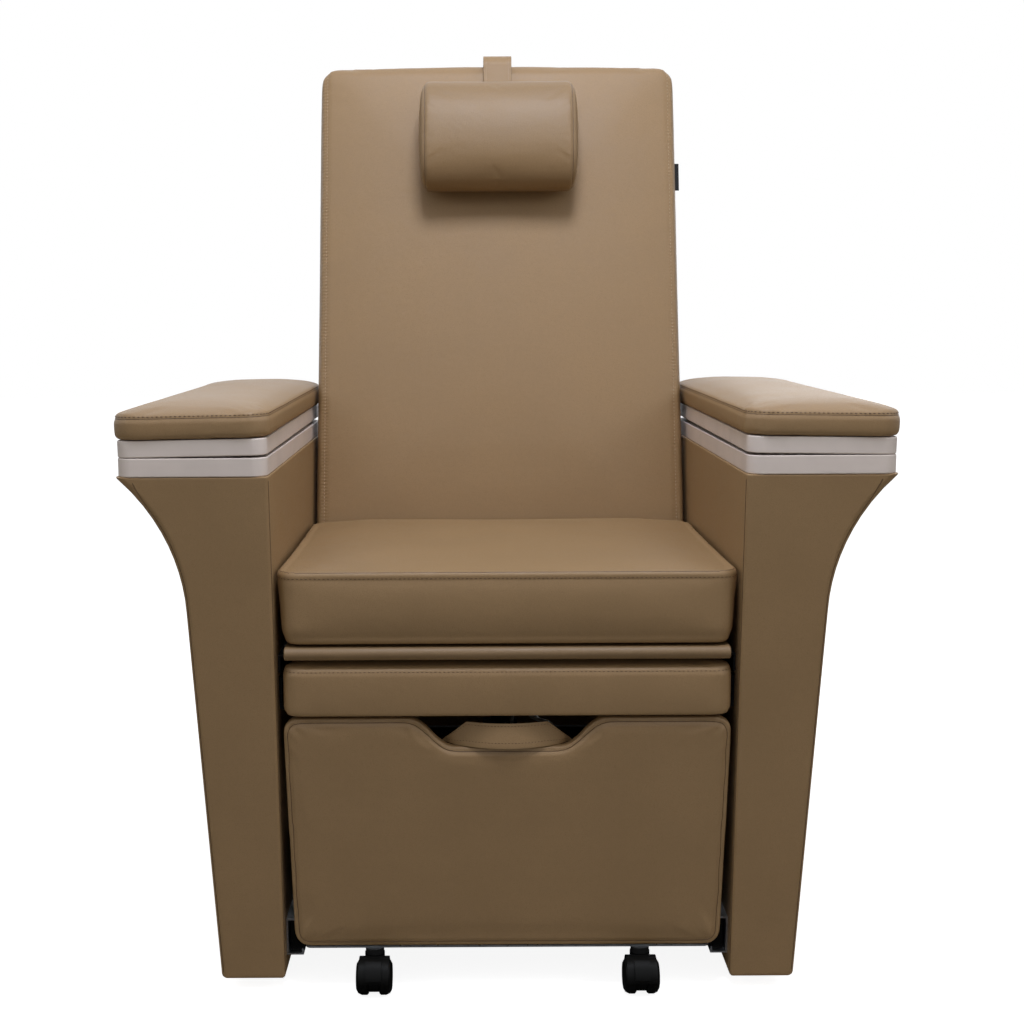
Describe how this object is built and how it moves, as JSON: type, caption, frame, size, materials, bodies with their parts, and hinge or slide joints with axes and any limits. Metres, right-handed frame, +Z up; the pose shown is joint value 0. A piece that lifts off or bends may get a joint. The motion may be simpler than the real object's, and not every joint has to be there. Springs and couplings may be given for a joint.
{
  "type": "pedicure chair",
  "caption": "Pedicure chair with flared arm pods, swing-open tray lids, reclining back, head pillow, pull-out leg rest and a wheeled drawer.",
  "frame": {"origin": "middle of the footprint, on the floor", "axes": "+X to the viewer's right when facing the chair's front, +Y towards the back of the chair, +Z up"},
  "size_m": [1.044, 0.7872, 1.389],
  "materials": {
    "leather": "satin taupe upholstery leather with fine grain",
    "rim_plastic": "satin light grey moulding",
    "bright_steel": "zinc plated",
    "dark_paint": "satin black powder coat",
    "black_plastic": "moulded black",
    "tread": "moulded black wheel",
    "grey_cable": "matt grey sheath",
    "plywood": "raw plywood",
    "woven_tag": "woven black"
  },
  "bodies": {
    "base": {"left_pod": "leather", "right_pod": "leather", "seat_board": "leather", "seat_cushion": "leather", "rear_panel": "leather", "left_tray": "rim_plastic", "right_tray": "rim_plastic", "lid_pins": "bright_steel", "lid_washers": "bright_steel", "lid_pin_rings": "bright_steel", "drawer_rails": "bright_steel", "rail_screws": "bright_steel", "clevis_pin": "bright_steel", "seat_beam": "bright_steel", "recline_shaft": "bright_steel", "runner_outers": "bright_steel", "seat_rails": "dark_paint", "rear_beam": "dark_paint", "levelling_glides": "black_plastic", "control_box": "black_plastic", "control_lead": "grey_cable"},
    "backrest": {"back_cushion": "leather", "back_board": "plywood", "back_shell": "leather", "recline_frame": "dark_paint", "pillow_strap": "leather", "side_tag": "woven_tag"},
    "pillow": {"head_pillow": "leather"},
    "pillow_weight": {"counterweight": "leather"},
    "actuator_tube": {"actuator_tube": "dark_paint"},
    "actuator_rod": {"actuator_rod": "bright_steel"},
    "left_lid": {"left_lid": "rim_plastic", "left_bush": "black_plastic", "left_arm_pad": "leather"},
    "right_lid": {"right_lid": "rim_plastic", "right_bush": "black_plastic", "right_arm_pad": "leather"},
    "leg_rest": {"runner_inners": "bright_steel", "rest_plates": "bright_steel", "rest_board": "plywood", "rest_cushion": "leather"},
    "runner_middles": {"runner_middles": "bright_steel"},
    "drawer": {"drawer_front": "leather", "handle_strap": "leather", "drawer_base": "bright_steel", "drawer_floor": "plywood", "drawer_sides": "plywood", "drawer_back": "plywood", "rail_shoes": "black_plastic", "caster_stems": "dark_paint"},
    "front_left_swivel": {"front_left_hood": "black_plastic"},
    "front_left_roller": {"front_left_wheels": "tread"},
    "front_left_brake": {"front_left_brake": "black_plastic"},
    "front_right_swivel": {"front_right_hood": "black_plastic"},
    "front_right_roller": {"front_right_wheels": "tread"},
    "front_right_brake": {"front_right_brake": "black_plastic"},
    "rear_left_swivel": {"rear_left_hood": "black_plastic"},
    "rear_left_roller": {"rear_left_wheels": "tread"},
    "rear_right_swivel": {"rear_right_hood": "black_plastic"},
    "rear_right_roller": {"rear_right_wheels": "tread"}
  },
  "joints": [
    {"name": "backrest_recline", "type": "hinge", "parent": "base", "child": "backrest", "pos_m": [0, 0.17038, 0.53], "axis": [-1, 0, 0], "range_deg": [0, 35]},
    {"name": "pillow_slide", "type": "slide", "parent": "backrest", "child": "pillow", "axis": [0, 0.2164, 0.9763], "range_m": [-0.1, 0.02]},
    {"name": "pillow_weight_slide", "type": "slide", "parent": "backrest", "child": "pillow_weight", "axis": [0, 0.2164, 0.9763], "range_m": [-0.02, 0.1]},
    {"name": "actuator_pivot", "type": "hinge", "parent": "base", "child": "actuator_tube", "pos_m": [0, 0.22538, 0.157], "axis": [-1, 0, 0], "range_deg": [-0.5, 2.5]},
    {"name": "actuator_stroke", "type": "slide", "parent": "actuator_tube", "child": "actuator_rod", "axis": [0, 0.0168, 0.9999], "range_m": [-0.045, 0.002]},
    {"name": "left_lid_swing", "type": "hinge", "parent": "base", "child": "left_lid", "pos_m": [-0.345, 0.27538, 0.771], "axis": [0, 0, -1], "range_deg": [0, 90]},
    {"name": "right_lid_swing", "type": "hinge", "parent": "base", "child": "right_lid", "pos_m": [0.345, 0.27538, 0.771], "axis": [0, 0, 1], "range_deg": [0, 90]},
    {"name": "leg_rest_slide", "type": "slide", "parent": "base", "child": "leg_rest", "axis": [0, -1, 0], "range_m": [0, 0.3]},
    {"name": "runner_middle_slide", "type": "slide", "parent": "base", "child": "runner_middles", "axis": [0, -1, 0], "range_m": [0, 0.15]},
    {"name": "drawer_slide", "type": "slide", "parent": "base", "child": "drawer", "axis": [0, -1, 0], "range_m": [0, 0.4]},
    {"name": "front_left_caster_swivel", "type": "hinge", "parent": "drawer", "child": "front_left_swivel", "pos_m": [-0.188, -0.32662, 0.054], "axis": [0, 0, 1], "continuous": true},
    {"name": "front_left_wheel_spin", "type": "hinge", "parent": "front_left_swivel", "child": "front_left_roller", "pos_m": [-0.188, -0.34462, 0.025], "axis": [1, 0, 0], "continuous": true},
    {"name": "front_left_brake_rock", "type": "hinge", "parent": "front_left_swivel", "child": "front_left_brake", "pos_m": [-0.188, -0.34462, 0.025], "axis": [1, 0, 0], "range_deg": [0, 10]},
    {"name": "front_right_caster_swivel", "type": "hinge", "parent": "drawer", "child": "front_right_swivel", "pos_m": [0.188, -0.32662, 0.054], "axis": [0, 0, 1], "continuous": true},
    {"name": "front_right_wheel_spin", "type": "hinge", "parent": "front_right_swivel", "child": "front_right_roller", "pos_m": [0.188, -0.34462, 0.025], "axis": [1, 0, 0], "continuous": true},
    {"name": "front_right_brake_rock", "type": "hinge", "parent": "front_right_swivel", "child": "front_right_brake", "pos_m": [0.188, -0.34462, 0.025], "axis": [1, 0, 0], "range_deg": [0, 10]},
    {"name": "rear_left_caster_swivel", "type": "hinge", "parent": "drawer", "child": "rear_left_swivel", "pos_m": [-0.188, 0.11338, 0.054], "axis": [0, 0, 1], "continuous": true},
    {"name": "rear_left_wheel_spin", "type": "hinge", "parent": "rear_left_swivel", "child": "rear_left_roller", "pos_m": [-0.188, 0.09538, 0.025], "axis": [1, 0, 0], "continuous": true},
    {"name": "rear_right_caster_swivel", "type": "hinge", "parent": "drawer", "child": "rear_right_swivel", "pos_m": [0.188, 0.11338, 0.054], "axis": [0, 0, 1], "continuous": true},
    {"name": "rear_right_wheel_spin", "type": "hinge", "parent": "rear_right_swivel", "child": "rear_right_roller", "pos_m": [0.188, 0.09538, 0.025], "axis": [1, 0, 0], "continuous": true}
  ],
  "couplings": [
    {"joint": "pillow_weight_slide", "follows": "pillow_slide", "ratio": -1},
    {"joint": "actuator_pivot", "follows": "backrest_recline", "ratio": 0.04586},
    {"joint": "actuator_stroke", "follows": "backrest_recline", "m_per_rad": -0.067385},
    {"joint": "runner_middle_slide", "follows": "leg_rest_slide", "ratio": 0.5}
  ]
}
